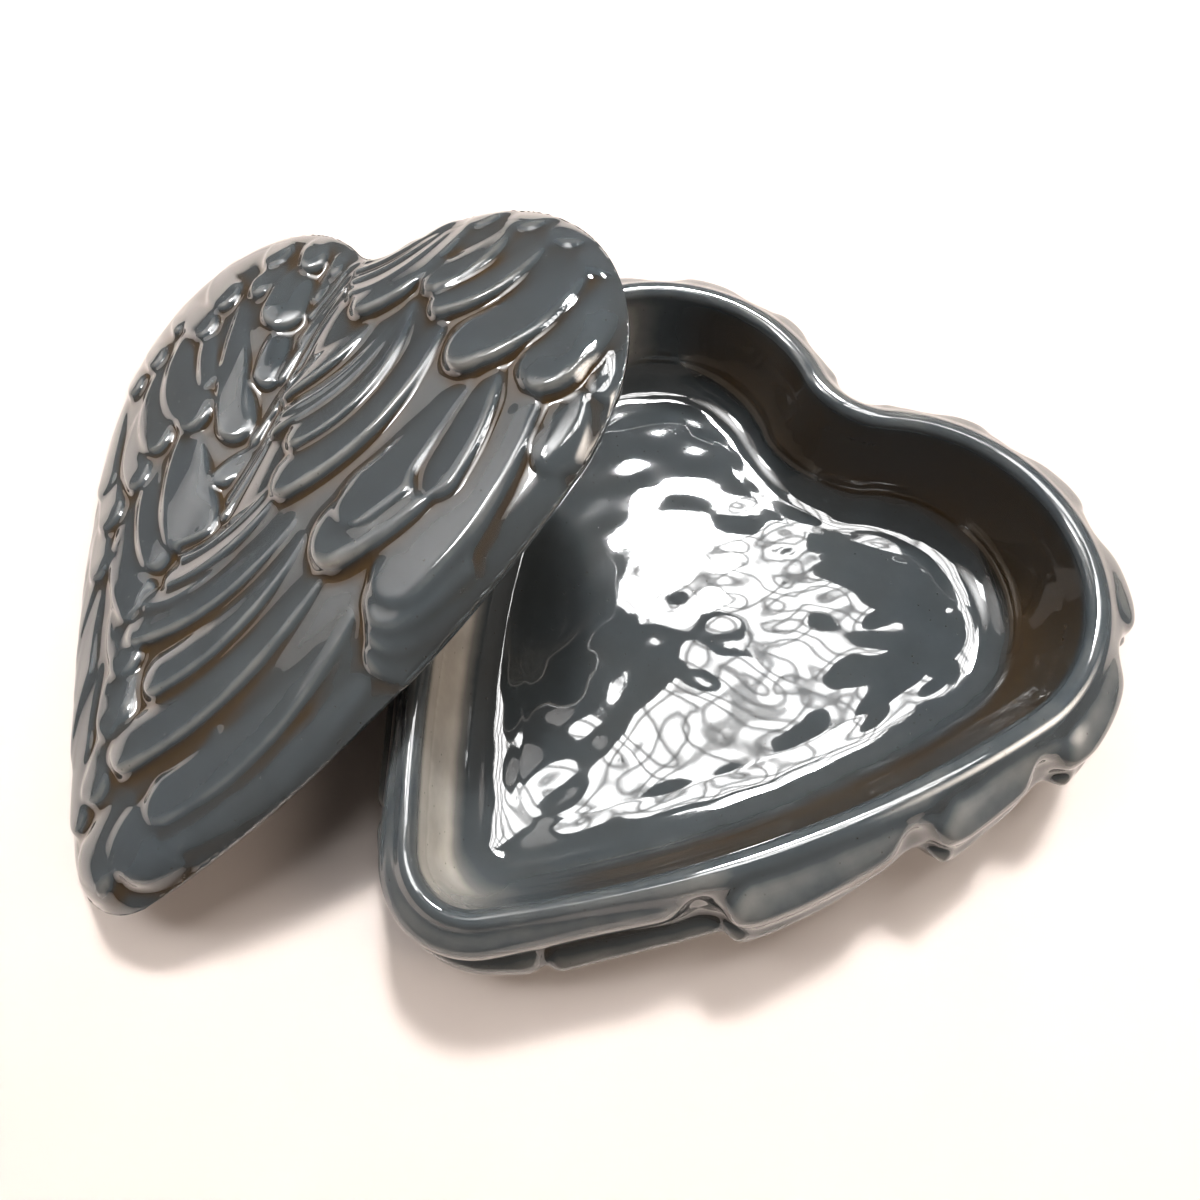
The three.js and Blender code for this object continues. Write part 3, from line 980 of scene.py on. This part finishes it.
def make_side_window():
    """A few small bright panes to one side, for the crisp highlights on the feathers."""
    points, faces = [], []
    half = (SIDE_PANE - GLAZING_BAR) / 2
    for row in range(SIDE_ROWS):
        for column in range(SIDE_COLUMNS):
            x = (column - (SIDE_COLUMNS - 1) / 2) * SIDE_PANE
            y = (row - (SIDE_ROWS - 1) / 2) * SIDE_PANE
            faces.append(tuple(range(len(points), len(points) + 4)))
            for across, up in ((-half, -half), (-half, half), (half, half), (half, -half)):
                points.append((x + across, y + up, 0))
    lamp = make_lamp("side_window", points, faces, [SIDE_RADIANCE] * len(points))
    face_box(lamp, SIDE_PLACE)


def make_glow(name, place, radius, radiance, colour):
    """A round soft light, aimed at the box, which fades to nothing at its edge."""
    points, share = [(0, 0, 0)], [1.0]
    for n in range(1, GLOW_RINGS + 1):
        reach = radius * n / GLOW_RINGS
        for side in range(GLOW_SIDES):
            angle = 2 * math.pi * side / GLOW_SIDES
            points.append((reach * math.cos(angle), reach * math.sin(angle), 0))
            share.append(1 - n / GLOW_RINGS)
    faces = [(0, 1 + (side + 1) % GLOW_SIDES, 1 + side) for side in range(GLOW_SIDES)]
    for n in range(GLOW_RINGS - 1):
        low, high = 1 + n * GLOW_SIDES, 1 + (n + 1) * GLOW_SIDES
        for side in range(GLOW_SIDES):
            after = (side + 1) % GLOW_SIDES
            faces.append((low + side, low + after, high + after, high + side))
    lamp = make_lamp(name, points, faces, radiance * smoothstep(np.array(share), 0, 1), colour)
    face_box(lamp, place)


def make_lights():
    make_window()
    make_side_window()
    for glow in GLOWS:
        make_glow(*glow)


def make_world():
    world = bpy.data.worlds.new("studio")
    bpy.context.scene.world = world
    world.use_nodes = True
    tree = world.node_tree
    background = tree.nodes["Background"]
    direction = node(tree, "ShaderNodeTexCoord")
    parts = node(tree, "ShaderNodeSeparateXYZ")
    stops = [(height, [light * part for part in ROOM_COLOUR]) for height, light in ROOM_LIGHT]
    light_ramp = ramp(tree, stops)
    tree.links.new(direction.outputs["Generated"], parts.inputs["Vector"])
    tree.links.new(parts.outputs["Z"], light_ramp.inputs["Fac"])
    tree.links.new(light_ramp.outputs["Color"], background.inputs["Color"])
    bpy.context.scene.view_settings.view_transform = "Standard"


def make_camera():
    data = bpy.data.cameras.new("camera")
    data.sensor_width = SENSOR
    data.lens = LENS
    data.clip_start = CLIP_START
    camera = bpy.data.objects.new("camera", data)
    back = Vector((
        math.sin(CAMERA_AZIMUTH) * math.cos(CAMERA_ELEVATION),
        -math.cos(CAMERA_AZIMUTH) * math.cos(CAMERA_ELEVATION),
        math.sin(CAMERA_ELEVATION),
    ))
    camera.location = CAMERA_TARGET + back * CAMERA_DISTANCE
    camera.rotation_mode = "QUATERNION"
    camera.rotation_quaternion = (-back).to_track_quat("-Z", "Y")
    bpy.context.scene.collection.objects.link(camera)
    bpy.context.scene.camera = camera


make_camera()
make_world()
make_lights()
make_floor()

dish = make_dish()
dish.data.materials.append(glaze_material("dish_glaze"))
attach(dish, "dish")
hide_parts("base_dish")

lid = make_lid()
lid.data.materials.append(glaze_material("lid_glaze"))
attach(lid, "lid")
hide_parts("wing_lid")
